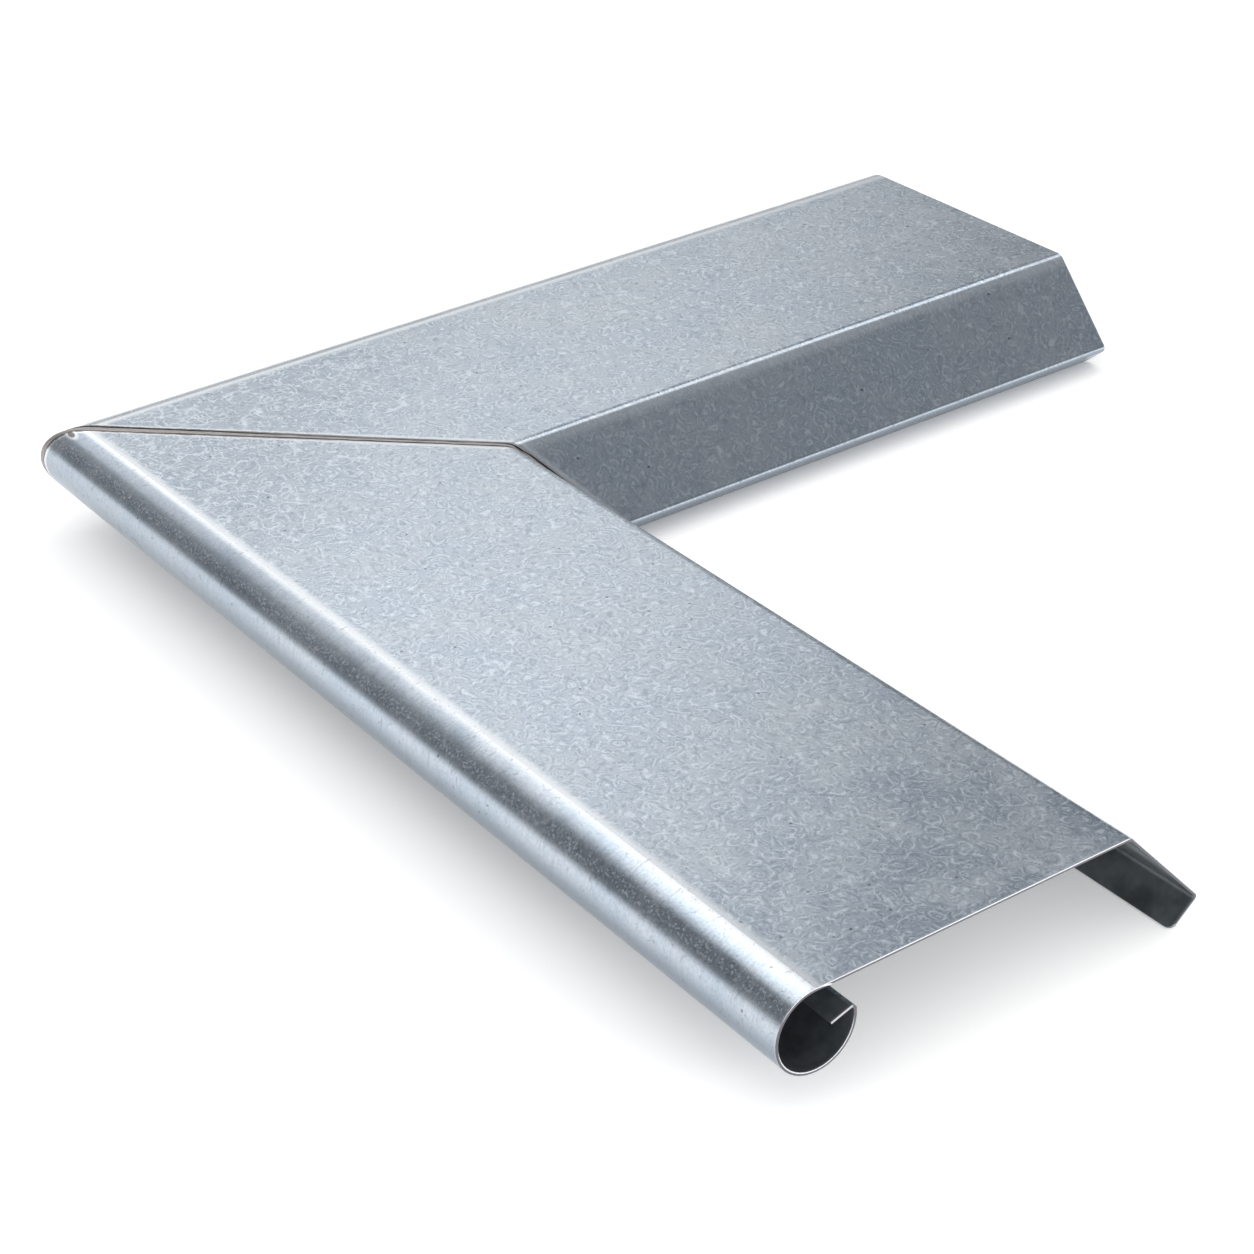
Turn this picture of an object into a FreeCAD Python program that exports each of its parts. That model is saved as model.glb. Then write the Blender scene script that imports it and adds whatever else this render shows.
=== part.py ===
"""Outside miter of galvanised sheet: two legs of one bent section, mitred at 45 degrees and soldered.

The section, from the outer side to the inner side, is a rolled bead with its lip folded in, a flat web,
a sloped flange and a short return lip. The long leg runs along +X and the short leg along +Y from the
outer corner. The part lies web up on the edges of its return lips, and its origin is at the centre of
the bottom of its box, +Z up.
"""
import FreeCAD, Part
import math
import os

import Sketcher
from FreeCAD import Placement, Rotation, Vector

# Driving dimensions, in millimetres and degrees
DIMENSIONS = {
    "sheet_thickness": 0.7,
    "long_leg_length": 325,     # along the outer edge, from the outer corner
    "short_leg_length": 284,
    "web_width": 92,            # outer face of the bead to the corner of the flange bend
    "bead_radius": 10,          # outer radius of the rolled bead
    "bead_wrap": 274,           # how far the sheet runs round the bead, from its top
    "lip_fold_radius": 1.3,     # outer radius of the tight fold that starts the bead's lip
    "lip_length": 5,            # straight part of the lip inside the bead
    "lip_slope": 18,            # how steeply the lip falls towards the middle of the bead
    "flange_bend_radius": 3.2,  # outer radius
    "flange_slope": 49,         # below level
    "flange_length": 31,        # corner of its upper bend to corner of its lower bend
    "return_bend_radius": 1.7,  # outer radius
    "return_turn": 92,          # how far the return lip turns from the flange
    "return_length": 9.6,       # corner of the lower bend to the free edge
    "return_corner_radius": 2,  # on the free corner of the return lip
    "seam_width": 2.6,          # gap between the two mitred edges, filled with solder
    "seam_recess": 0.3,         # solder below the face of the sheet
    "lap_width": 12,            # how far the lap tab reaches under the short leg
    "lap_end_margin": 3,        # from the ends of the tab to the bead and to the flange bend
    "joggle_run": 1.6,          # over which the tab steps down by one sheet
}

# Names of the sketch's lines and arcs, in the order in which they are added
LIP, LIP_FOLD, BEAD, WEB, FLANGE_BEND, FLANGE, RETURN_BEND, RETURN = range(8)
START, END, CENTRE = 1, 2, 3
X_AXIS, ORIGIN_POINT = -1, -1

MITRE_ANGLE = 45   # half of the square corner
CUTTER_MARGIN = 10  # how far the cutting boxes run past the sheet

# Height of the web above the edge of the return lip
DROP = (
    "(Dimensions.flange_length * sin(Dimensions.flange_slope)"
    " + Dimensions.return_length * sin(Dimensions.flange_slope + Dimensions.return_turn))"
)

doc = FreeCAD.newDocument("OutsideMiter")


def cell(name):
    """The sheet's value, for geometry that is worked out before it is bound."""
    return float(sheet.get(name))


def polar(angle, radius=1.0):
    """A point of the section, with the angle in degrees from the across direction."""
    return Vector(radius * math.cos(math.radians(angle)), radius * math.sin(math.radians(angle)), 0)


# The spreadsheet
sheet = doc.addObject("Spreadsheet::Sheet", "Dimensions")
for row, (name, value) in enumerate(DIMENSIONS.items(), start=1):
    sheet.set(f"A{row}", name)
    sheet.set(f"B{row}", str(value))
    sheet.setAlias(f"B{row}", name)
doc.recompute()


def arc(centre, radius, first_angle, last_angle):
    circle = Part.Circle(centre, Vector(0, 0, 1), radius)
    return Part.ArcOfCircle(circle, math.radians(first_angle), math.radians(last_angle))


def section_geometry():
    """The outer line of the sheet, from the end of the bead's lip to the edge of the return lip."""
    bead_radius = cell("bead_radius")
    fold_radius = cell("lip_fold_radius")
    slope = cell("flange_slope")
    turn = cell("return_turn")

    bead_centre = Vector(bead_radius, -bead_radius, 0)
    fold_angle = cell("bead_wrap") - 270
    fold_centre = bead_centre + polar(fold_angle, bead_radius - fold_radius)
    lip_angle = 90 + cell("lip_slope")
    lip_start = fold_centre + polar(lip_angle, fold_radius)
    lip_end = lip_start + polar(lip_angle + 90, cell("lip_length"))

    flange_radius = cell("flange_bend_radius")
    flange_setback = flange_radius * math.tan(math.radians(slope / 2))
    flange_corner = Vector(cell("web_width"), 0, 0)
    web_end = flange_corner - Vector(flange_setback, 0, 0)
    flange_start = flange_corner + polar(-slope, flange_setback)

    return_radius = cell("return_bend_radius")
    return_setback = return_radius * math.tan(math.radians(turn / 2))
    return_corner = flange_corner + polar(-slope, cell("flange_length"))
    flange_end = return_corner - polar(-slope, return_setback)
    return_centre = flange_end + polar(-slope - 90, return_radius)
    return_start = return_corner + polar(-slope - turn, return_setback)
    return_end = return_corner + polar(-slope - turn, cell("return_length"))

    return [
        Part.LineSegment(lip_start, lip_end),
        arc(fold_centre, fold_radius, fold_angle, lip_angle),
        arc(bead_centre, bead_radius, 90, 360 + fold_angle),
        Part.LineSegment(Vector(bead_radius, 0, 0), web_end),
        arc(web_end - Vector(0, flange_radius, 0), flange_radius, 90 - slope, 90),
        Part.LineSegment(flange_start, flange_end),
        arc(return_centre, return_radius, 90 - slope - turn, 90 - slope),
        Part.LineSegment(return_start, return_end),
    ]


def bind(sketch, name, constraint, expression):
    """Add one driving constraint under a name and tie it to the spreadsheet."""
    index = sketch.addConstraint(constraint)
    sketch.renameConstraint(index, name)
    sketch.setExpression(f"Constraints.{name}", expression)


def section_sketch():
    """The section of both legs, standing in the plane across the long leg."""
    sketch = doc.addObject("Sketcher::SketchObject", "SheetLine")
    sketch.Placement = Placement(Vector(0, 0, 0), Rotation(Vector(1, 1, 1), 120))
    sketch.addGeometry(section_geometry(), False)

    joints = [
        (LIP, START, LIP_FOLD, END),
        (LIP_FOLD, START, BEAD, END),
        (BEAD, START, WEB, START),
        (WEB, END, FLANGE_BEND, END),
        (FLANGE_BEND, START, FLANGE, START),
        (FLANGE, END, RETURN_BEND, END),
        (RETURN_BEND, START, RETURN, START),
    ]
    for joint in joints:
        sketch.addConstraint(Sketcher.Constraint("Tangent", *joint))
    sketch.addConstraint(Sketcher.Constraint("Horizontal", WEB))
    sketch.addConstraint(Sketcher.Constraint("PointOnObject", WEB, START, X_AXIS))

    geometry = sketch.Geometry
    radii = [
        (LIP_FOLD, "lip_fold_radius"),
        (BEAD, "bead_radius"),
        (FLANGE_BEND, "flange_bend_radius"),
        (RETURN_BEND, "return_bend_radius"),
    ]
    for index, name in radii:
        constraint = Sketcher.Constraint("Radius", index, geometry[index].Radius)
        bind(sketch, name, constraint, f"Dimensions.{name}")

    bind(
        sketch,
        "bead_middle",
        Sketcher.Constraint("DistanceX", ORIGIN_POINT, START, BEAD, CENTRE, geometry[BEAD].Center.x),
        "Dimensions.bead_radius",
    )
    bind(
        sketch,
        "fold_height",
        Sketcher.Constraint(
            "DistanceY", BEAD, CENTRE, LIP_FOLD, CENTRE, geometry[LIP_FOLD].Center.y - geometry[BEAD].Center.y
        ),
        "(Dimensions.bead_radius - Dimensions.lip_fold_radius) * sin(Dimensions.bead_wrap - 270)",
    )
    bind(
        sketch,
        "web_end",
        Sketcher.Constraint("DistanceX", ORIGIN_POINT, START, WEB, END, geometry[WEB].EndPoint.x),
        "Dimensions.web_width - Dimensions.flange_bend_radius * tan(Dimensions.flange_slope / 2)",
    )
    lengths = [
        (LIP, "lip_length", "Dimensions.lip_length"),
        (
            FLANGE,
            "flange_straight",
            "Dimensions.flange_length - Dimensions.flange_bend_radius * tan(Dimensions.flange_slope / 2)"
            " - Dimensions.return_bend_radius * tan(Dimensions.return_turn / 2)",
        ),
        (
            RETURN,
            "return_straight",
            "Dimensions.return_length - Dimensions.return_bend_radius * tan(Dimensions.return_turn / 2)",
        ),
    ]
    for index, name, expression in lengths:
        constraint = Sketcher.Constraint("Distance", index, geometry[index].length())
        bind(sketch, name, constraint, expression)

    # The turn of each bend is the angle that its arc spans.
    turns = [
        (LIP_FOLD, "lip_fold_turn", "90 + Dimensions.lip_slope - (Dimensions.bead_wrap - 270)"),
        (FLANGE_BEND, "flange_turn", "Dimensions.flange_slope"),
        (RETURN_BEND, "return_turn", "Dimensions.return_turn"),
    ]
    for index, name, expression in turns:
        span = geometry[index].LastParameter - geometry[index].FirstParameter
        bind(sketch, name, Sketcher.Constraint("Angle", index, span), expression)
    return sketch


def sheet_section(name, section, depth):
    """The face between the outer line of the sheet and the same line one depth further in."""
    face = doc.addObject("Part::Offset2D", name)
    face.Source = section
    face.Mode = "Skin"
    face.Join = "Arc"
    face.Fill = True
    face.setExpression("Value", f"-Dimensions.{depth}")
    return face


def extrude(name, face, direction, length):
    blank = doc.addObject("Part::Extrusion", name)
    blank.Base = face
    blank.DirMode = "Custom"
    blank.Dir = direction
    blank.Solid = True
    blank.setExpression("LengthFwd", length)
    return blank


def combine(kind, name, base, tool):
    """A boolean of two features: Part::Cut, Part::Common or Part::Fuse."""
    result = doc.addObject(kind, name)
    result.Base = base
    result.Tool = tool
    result.Refine = True
    return result


def mirror_across_mitre(name, source):
    mirrored = doc.addObject("Part::Mirroring", name)
    mirrored.Source = source
    mirrored.Base = Vector(0, 0, 0)
    mirrored.Normal = Vector(1, -1, 0)
    return mirrored


def mitre_box(name, width):
    """A box along the mitre, whose near face is the mitred edge of the long leg."""
    box = doc.addObject("Part::Box", name)
    box.Placement = Placement(Vector(0, 0, 0), Rotation(Vector(0, 0, 1), MITRE_ANGLE))
    box.setExpression("Placement.Base.x", f"(Dimensions.seam_width / 2 - {CUTTER_MARGIN}) * cos({MITRE_ANGLE})")
    box.setExpression("Placement.Base.y", f"-(Dimensions.seam_width / 2 + {CUTTER_MARGIN}) * cos({MITRE_ANGLE})")
    box.setExpression("Placement.Base.z", f"-{DROP} - {CUTTER_MARGIN}")
    box.setExpression("Length", "2 * (Dimensions.web_width + Dimensions.flange_length)")
    box.setExpression("Width", width)
    box.setExpression("Height", f"{DROP} + 2 * {CUTTER_MARGIN}")
    return box


def free_corner_edge(shape):
    """Number of the short edge at the free corner of the return lip, where the leg ends."""
    thickness = cell("sheet_thickness")
    lowest_end = Vector(shape.BoundBox.XMax, 0, shape.BoundBox.ZMin)
    near = thickness / 10
    for number, edge in enumerate(shape.Edges, start=1):
        points = [vertex.Point for vertex in edge.Vertexes]
        at_end = all(abs(point.x - lowest_end.x) < near for point in points)
        at_bottom = any(abs(point.z - lowest_end.z) < near for point in points)
        if at_end and at_bottom and abs(edge.Length - thickness) < near:
            return number
    raise ValueError("the return lip has no free corner")


def mitred_leg(name, face, length_name, waste):
    """One leg along +X: the bent section at full length, mitred, with the free corner rounded."""
    blank = extrude(f"{name}_blank", face, Vector(1, 0, 0), f"Dimensions.{length_name}")
    mitred = combine("Part::Cut", f"{name}_mitred", blank, waste)
    doc.recompute()
    rounded = doc.addObject("Part::Fillet", f"{name}_rounded")
    rounded.Base = mitred
    radius = cell("return_corner_radius")
    rounded.Edges = [(free_corner_edge(mitred.Shape), radius, radius)]
    return rounded


def tab_sketch():
    """Section of the lap tab across the mitre: it steps down by one sheet and runs on under the short leg."""
    thickness = cell("sheet_thickness")
    edge = -cell("seam_width") / 2
    step_end = edge + cell("joggle_run")
    tip = cell("seam_width") / 2 + cell("lap_width")
    corners = [
        Vector(edge, 0, 0),
        Vector(step_end, -thickness, 0),
        Vector(tip, -thickness, 0),
        Vector(tip, -2 * thickness, 0),
        Vector(step_end, -2 * thickness, 0),
        Vector(edge, -thickness, 0),
    ]
    step_top, tab_top, tab_tip, tab_bottom, step_bottom, root = range(len(corners))

    sketch = doc.addObject("Sketcher::SketchObject", "TabSection")
    across_mitre = Rotation(Vector(0, 0, 1), MITRE_ANGLE) * Rotation(Vector(1, 1, 1), 120)
    sketch.Placement = Placement(Vector(0, 0, 0), across_mitre)
    for corner, following in zip(corners, corners[1:] + corners[:1]):
        sketch.addGeometry(Part.LineSegment(corner, following), False)
    for line in range(len(corners)):
        following = (line + 1) % len(corners)
        sketch.addConstraint(Sketcher.Constraint("Coincident", line, END, following, START))
    for line in (tab_top, tab_bottom):
        sketch.addConstraint(Sketcher.Constraint("Horizontal", line))
    for line in (tab_tip, root):
        sketch.addConstraint(Sketcher.Constraint("Vertical", line))
    sketch.addConstraint(Sketcher.Constraint("PointOnObject", step_top, START, X_AXIS))
    sketch.addConstraint(Sketcher.Constraint("Vertical", step_top, END, step_bottom, START))

    sizes = [
        ("edge", "DistanceX", (step_top, START, ORIGIN_POINT, START), -edge, "Dimensions.seam_width / 2"),
        ("run", "DistanceX", (step_top, START, step_top, END), cell("joggle_run"), "Dimensions.joggle_run"),
        ("root_depth", "DistanceY", (root, START, root, END), thickness, "Dimensions.sheet_thickness"),
        ("step", "DistanceY", (tab_top, END, ORIGIN_POINT, START), thickness, "Dimensions.sheet_thickness"),
        ("tip_depth", "DistanceY", (tab_tip, END, tab_tip, START), thickness, "Dimensions.sheet_thickness"),
        (
            "reach",
            "DistanceX",
            (ORIGIN_POINT, START, tab_top, END),
            tip,
            "Dimensions.seam_width / 2 + Dimensions.lap_width",
        ),
    ]
    for name, kind, points, value, expression in sizes:
        bind(sketch, name, Sketcher.Constraint(kind, *points, value), expression)
    return sketch


def lap_tab():
    """The tab's section run along the mitre and trimmed to the flat part of the short leg's web."""
    along_mitre = Vector(1, 1, 0)
    strip = extrude("TabStrip", tab_sketch(), along_mitre, "2 * Dimensions.web_width")
    flat_web = doc.addObject("Part::Box", "FlatWeb")
    flat_web.setExpression("Placement.Base.x", "Dimensions.bead_radius + Dimensions.lap_end_margin")
    flat_web.setExpression("Placement.Base.z", "-2 * Dimensions.sheet_thickness")
    flat_web.setExpression(
        "Length",
        "Dimensions.web_width - Dimensions.flange_bend_radius * tan(Dimensions.flange_slope / 2)"
        " - Dimensions.bead_radius - 2 * Dimensions.lap_end_margin",
    )
    flat_web.setExpression("Width", "2 * Dimensions.web_width")
    flat_web.setExpression("Height", "2 * Dimensions.sheet_thickness")
    return combine("Part::Common", "LapTab", strip, flat_web)


def place_in_frame(feature):
    """Move a finished piece from the outer corner's frame to the part's frame."""
    feature.setExpression("Placement.Base.x", "-Dimensions.long_leg_length / 2")
    feature.setExpression("Placement.Base.y", "-Dimensions.short_leg_length / 2")
    feature.setExpression("Placement.Base.z", DROP)


section = section_sketch()
sheet_face = sheet_section("SheetSection", section, "sheet_thickness")
waste = mitre_box("MitreWaste", "Dimensions.web_width + Dimensions.flange_length")
tab = lap_tab()

# The long leg, with its lap tab
long_leg = combine("Part::Fuse", "long_leg", mitred_leg("long", sheet_face, "long_leg_length", waste), tab)

# The short leg: the same section and the same cut, mirrored across the mitre
short_leg = mirror_across_mitre("short_leg", mitred_leg("short", sheet_face, "short_leg_length", waste))

# The solder: what is left of the section between the two mitred edges, lower than the sheet's face,
# and over the step of the lap tab
outer_skin = sheet_section("SkinSection", section, "seam_recess")
solder_face = combine("Part::Cut", "SolderSection", sheet_face, outer_skin)
solder_blank = extrude(
    "SolderBlank", solder_face, Vector(1, 0, 0), "2 * (Dimensions.web_width + Dimensions.flange_length)"
)
seam_slab = mitre_box("SeamSlab", "Dimensions.seam_width / 2")
solder_half = combine("Part::Common", "SolderHalf", solder_blank, seam_slab)
solder_run = combine("Part::Fuse", "SolderRun", solder_half, mirror_across_mitre("SolderOtherHalf", solder_half))
mitre_solder = combine("Part::Cut", "mitre_solder", solder_run, tab)

pieces = [long_leg, short_leg, mitre_solder]
for piece in pieces:
    place_in_frame(piece)
doc.recompute()

for feature in doc.Objects:
    if "Invalid" in feature.State or "Error" in feature.State:
        raise RuntimeError(f"{feature.Label} did not build: {feature.State}")
for piece in pieces:
    shape = piece.Shape
    if shape.isNull() or not shape.isValid() or len(shape.Solids) != 1:
        raise RuntimeError(f"{piece.Label} is not one valid solid")

os.makedirs("parts", exist_ok=True)
for piece in pieces:
    piece.Shape.exportStep(f"parts/{piece.Label}.step")
    box = piece.Shape.BoundBox
    print(f"{piece.Label}: {piece.Shape.Volume:.1f} cubic mm, {box.XLength:.2f} x {box.YLength:.2f} x {box.ZLength:.2f} mm")
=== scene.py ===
# %% [markdown]
# # An outside corner for a gutter edge, in galvanised sheet
#
# The real part is two lengths of zinc-coated sheet, each with a rolled bead, a flat web, a sloped flange
# and a short return lip. Their ends are cut at 45 degrees and soldered, so that they turn a corner.
# The shapes come ready made from the solid model. This lesson gives them their surface and their light.
# The three solids are loaded as they are.

import math

import bmesh
import bpy
from mathutils import Matrix, Vector
from mathutils.noise import noise as noise_at


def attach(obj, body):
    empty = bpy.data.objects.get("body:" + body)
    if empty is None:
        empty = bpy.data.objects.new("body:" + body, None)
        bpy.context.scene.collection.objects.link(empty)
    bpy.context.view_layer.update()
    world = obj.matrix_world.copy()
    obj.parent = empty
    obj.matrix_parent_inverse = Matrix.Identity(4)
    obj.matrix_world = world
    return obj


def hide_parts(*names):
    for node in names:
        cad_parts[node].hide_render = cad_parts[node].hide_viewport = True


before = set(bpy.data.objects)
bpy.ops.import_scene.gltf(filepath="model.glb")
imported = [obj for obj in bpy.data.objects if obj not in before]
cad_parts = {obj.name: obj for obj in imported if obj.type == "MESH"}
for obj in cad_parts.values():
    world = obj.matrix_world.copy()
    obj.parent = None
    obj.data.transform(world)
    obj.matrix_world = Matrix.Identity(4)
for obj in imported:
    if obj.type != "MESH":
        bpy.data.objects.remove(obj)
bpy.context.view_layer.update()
print("nodes:", sorted(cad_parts))

# %% [markdown]
# ## The camera
#
# A camera can be placed by eye, but the straight edges of this part let it be worked out: every edge of
# the two legs gives a line in the picture, and one place of the camera fits them all. It stands about
# 0.8 m away, looks down at 30 degrees and is turned a little about its own axis, as a hand-held camera is.

# %% Camera
CAMERA_PLACE = Vector((0.52504, -0.41175, 0.37485))
CAMERA_TURN = 2.5554
CAMERA_DIP = 0.5236
CAMERA_ROLL = -0.0508
CAMERA_LENS_MM = 85.47
SENSOR_MM = 36

sight = Vector((math.cos(CAMERA_DIP) * math.cos(CAMERA_TURN),
                math.cos(CAMERA_DIP) * math.sin(CAMERA_TURN), -math.sin(CAMERA_DIP)))
level = Vector((math.sin(CAMERA_TURN), -math.cos(CAMERA_TURN), 0))
upright = level.cross(sight)
across = math.cos(CAMERA_ROLL) * level + math.sin(CAMERA_ROLL) * upright
upward = math.cos(CAMERA_ROLL) * upright - math.sin(CAMERA_ROLL) * level

lens = bpy.data.cameras.new("camera")
lens.lens = CAMERA_LENS_MM
lens.sensor_width = SENSOR_MM
lens.clip_start = 0.01
lens.clip_end = 100
camera = bpy.data.objects.new("camera", lens)
facing = Matrix((across, upward, -sight)).transposed().to_4x4()
camera.matrix_world = Matrix.Translation(CAMERA_PLACE) @ facing
bpy.context.scene.collection.objects.link(camera)
bpy.context.scene.camera = camera
print("camera is", round(CAMERA_PLACE.length, 3), "m from the part and looks down", round(math.degrees(CAMERA_DIP), 1))

# %% [markdown]
# ## Two helpers for nodes
#
# Every finish here is made of shader nodes. Adding a node, setting its values and linking its sockets
# takes several lines each time, so short helpers do it: one adds any node, one adds a sum, one takes a
# share of a mask, and one turns a range of values into a soft step.

# %% Helpers for nodes
NODE_STEP = 190


def add(tree, kind, sockets=None, **settings):
    made = tree.nodes.new("ShaderNode" + kind)
    made.location = (NODE_STEP * len(tree.nodes), 0)
    for name, value in settings.items():
        setattr(made, name, value)
    for name, value in (sockets or {}).items():
        if isinstance(value, bpy.types.NodeSocket):
            tree.links.new(value, made.inputs[name])
        else:
            made.inputs[name].default_value = value
    return made


def calc(tree, operation, *values):
    return add(tree, "Math", dict(enumerate(values)), operation=operation).outputs[0]


def part_of(tree, mask, share):
    return calc(tree, "MULTIPLY", mask, share)


def smooth(tree, value, start, end, low=0.0, high=1.0):
    sockets = {"Value": value, "From Min": start, "From Max": end, "To Min": low, "To Max": high}
    return add(tree, "MapRange", sockets, interpolation_type="SMOOTHSTEP").outputs["Result"]


print("helpers: add, calc, part_of, smooth")

# %% [markdown]
# ## A white table that keeps the shadow
#
# The part lies on a white sheet with no edge in sight. A plain white plane under soft light comes out a
# light grey, and more light would spoil the metal. So the plane stays at one level, and what the camera
# sees of it gets a small glow that lifts it to white. The glow is added for mirrored rays too, so the
# metal shows the same white table. The shadow is still there: the glow is only a small part, and it is
# weaker where the part hangs close over the table.

# %% Table
TABLE_HALF = 9.0
TABLE_COLOUR = (0.90, 0.90, 0.90, 1)
LEAST_GLOW = 0.16
OPEN_GLOW = 0.21
SHADE_REACH = 0.06
SHADE_SAMPLES = 4


def seen_directly(tree):
    path = add(tree, "LightPath")
    mirrored = calc(tree, "MAXIMUM", path.outputs["Is Glossy Ray"], path.outputs["Is Transmission Ray"])
    return calc(tree, "MAXIMUM", path.outputs["Is Camera Ray"], mirrored)


table_mesh = bpy.data.meshes.new("table")
table_mesh.from_pydata([(-TABLE_HALF, -TABLE_HALF, 0), (TABLE_HALF, -TABLE_HALF, 0),
                        (TABLE_HALF, TABLE_HALF, 0), (-TABLE_HALF, TABLE_HALF, 0)], [], [(0, 1, 2, 3)])
table = bpy.data.objects.new("table", table_mesh)
bpy.context.scene.collection.objects.link(table)

paper = bpy.data.materials.new("white_paper")
paper.use_nodes = True
tree = paper.node_tree
tree.nodes.clear()
matt = add(tree, "BsdfDiffuse", {"Color": TABLE_COLOUR})
openness = add(tree, "AmbientOcclusion", {"Distance": SHADE_REACH}, samples=SHADE_SAMPLES).outputs["AO"]
glow_here = calc(tree, "MULTIPLY_ADD", openness, OPEN_GLOW, LEAST_GLOW)
glow = add(tree, "Emission", {"Color": (1, 1, 1, 1), "Strength": glow_here})
lit = add(tree, "AddShader", {0: matt.outputs[0], 1: glow.outputs[0]})
kept = add(tree, "MixShader", {"Fac": seen_directly(tree), 1: matt.outputs[0], 2: lit.outputs[0]})
add(tree, "OutputMaterial", {"Surface": kept.outputs[0]})
table_mesh.materials.append(paper)
print("table is", 2 * TABLE_HALF, "m wide")

# %% [markdown]
# ## Light from all round
#
# The world gives the table its even light, as a large tent of white cloth does. The camera and the metal
# see the same white at strength 1.

# %% World
TENT_STRENGTH = 0.85

world = bpy.data.worlds.new("white_tent")
bpy.context.scene.world = world
world.use_nodes = True
tree = world.node_tree
tree.nodes.clear()
white = add(tree, "Background", {"Color": (1, 1, 1, 1), "Strength": 1.0})
tent = add(tree, "Background", {"Color": (1, 1, 1, 1), "Strength": TENT_STRENGTH})
shown = add(tree, "MixShader", {"Fac": seen_directly(tree), 1: tent.outputs[0], 2: white.outputs[0]})
add(tree, "OutputWorld", {"Surface": shown.outputs[0]})
world.cycles.sampling_method = "NONE"
print("world strength", TENT_STRENGTH)

# %% [markdown]
# ## What the metal shows
#
# Bare metal has hardly any tone of its own: it shows what stands round it. In a bare white tent it would
# come out flat. Photographers put grey screens round the table, and leave an opening where the metal is
# to be bright. Here the screens are one dome that only mirrored rays see. Its opening is at the back on
# the left, where the flat web looks. It has one firm edge, which darkens the near end of the web, and
# fades out slowly the other way, which gives the round bead its long change from white to slate. Low down
# the dome clears again, as a table that sweeps up at its far side does. The sweep is cut lower at the left,
# where the bead looks, and the screens are paler on the right and at the far left.
# Directions on the dome are an angle round the table and a height above it, in degrees. Each edge is given
# by the angle where it starts and the one where it ends, and some by the two values there.

# %% Grey screens
SCREEN_RADIUS = 4.0
SCREEN_DARK = (0.109, 0.115, 0.122, 1)
SCREEN_PALE = (0.290, 0.301, 0.316, 1)
SCREEN_MIDDLE = 175
OPENING_CLEAR = 0.99
WEB_EDGE, WEB_EDGE_LEAN, WEB_EDGE_SHIFT = (135, 146), -0.4, 11.2
FAR_EDGE, FAR_EDGE_LEAN, FAR_EDGE_SHIFT = (226, 163), 0.6, -19.8
TOP_EDGE = (66, 54)
LOW_DIMMING = (18, 25, 0.45, 1.0)
SWEEP_EDGE = (8, -6)
SWEEP_LIFT = (212, 223, -6.0, 5.0)
SWEEP_LIFT_START = (196, 208)
RIGHT_HEADING = (45, 40)
RIGHT_PALE = (-0.3, 0.9)
LEFT_PALE = (212, 228, 0.0, 0.38)


def direction(around, height):
    a, h = math.radians(around), math.radians(height)
    return Vector((math.cos(a) * math.cos(h), math.sin(a) * math.cos(h), math.sin(h)))


def toward(tree, place, heading):
    return add(tree, "VectorMath", {0: place, 1: heading / SCREEN_RADIUS}, operation="DOT_PRODUCT").outputs["Value"]


bpy.ops.mesh.primitive_uv_sphere_add(segments=64, ring_count=32, radius=SCREEN_RADIUS)
screens = bpy.context.object
screens.name = screens.data.name = "grey_screens"
screens.visible_camera = False
screens.visible_diffuse = False
screens.visible_shadow = False
screens.visible_transmission = False

cloth = bpy.data.materials.new("grey_screen")
cloth.use_nodes = True
cloth.cycles.emission_sampling = "NONE"
tree = cloth.node_tree
tree.nodes.clear()
place = add(tree, "TexCoord").outputs["Object"]
ahead = toward(tree, place, direction(SCREEN_MIDDLE, 0))
leftward = toward(tree, place, direction(SCREEN_MIDDLE + 90, 0))
turned = calc(tree, "DEGREES", calc(tree, "ARCTAN2", leftward, ahead))
around = calc(tree, "ADD", turned, float(SCREEN_MIDDLE))
height = calc(tree, "DEGREES", calc(tree, "ARCSINE", toward(tree, place, Vector((0, 0, 1)))))

leaning = calc(tree, "MULTIPLY_ADD", height, WEB_EDGE_LEAN, calc(tree, "ADD", around, WEB_EDGE_SHIFT))
tilted = calc(tree, "MULTIPLY_ADD", height, FAR_EDGE_LEAN, calc(tree, "ADD", around, FAR_EDGE_SHIFT))
between = calc(tree, "MULTIPLY", smooth(tree, leaning, *WEB_EDGE), smooth(tree, tilted, *FAR_EDGE))
below_top = calc(tree, "MULTIPLY", smooth(tree, height, *TOP_EDGE), smooth(tree, height, *LOW_DIMMING))
opening = calc(tree, "MULTIPLY", between, below_top)
sweep_lift = calc(tree, "MULTIPLY", smooth(tree, around, *SWEEP_LIFT), smooth(tree, around, *SWEEP_LIFT_START))
sweep = smooth(tree, calc(tree, "SUBTRACT", height, sweep_lift), *SWEEP_EDGE)
clear = calc(tree, "MAXIMUM", calc(tree, "MULTIPLY", opening, OPENING_CLEAR), sweep)
right_side = smooth(tree, toward(tree, place, direction(*RIGHT_HEADING)), *RIGHT_PALE)
left_side = smooth(tree, around, *LEFT_PALE)
grey_tone = add(tree, "Mix", {"Factor": calc(tree, "MAXIMUM", right_side, left_side)}, data_type="RGBA")
grey_tone.inputs[6].default_value, grey_tone.inputs[7].default_value = SCREEN_DARK, SCREEN_PALE
grey = add(tree, "Emission", {"Color": grey_tone.outputs[2], "Strength": 1.0})
gap = add(tree, "BsdfTransparent")
wall = add(tree, "MixShader", {"Fac": clear, 1: grey.outputs[0], 2: gap.outputs[0]})
add(tree, "OutputMaterial", {"Surface": wall.outputs[0]})
screens.data.materials.append(cloth)
print("screens:", len(screens.data.polygons), "faces")
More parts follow.
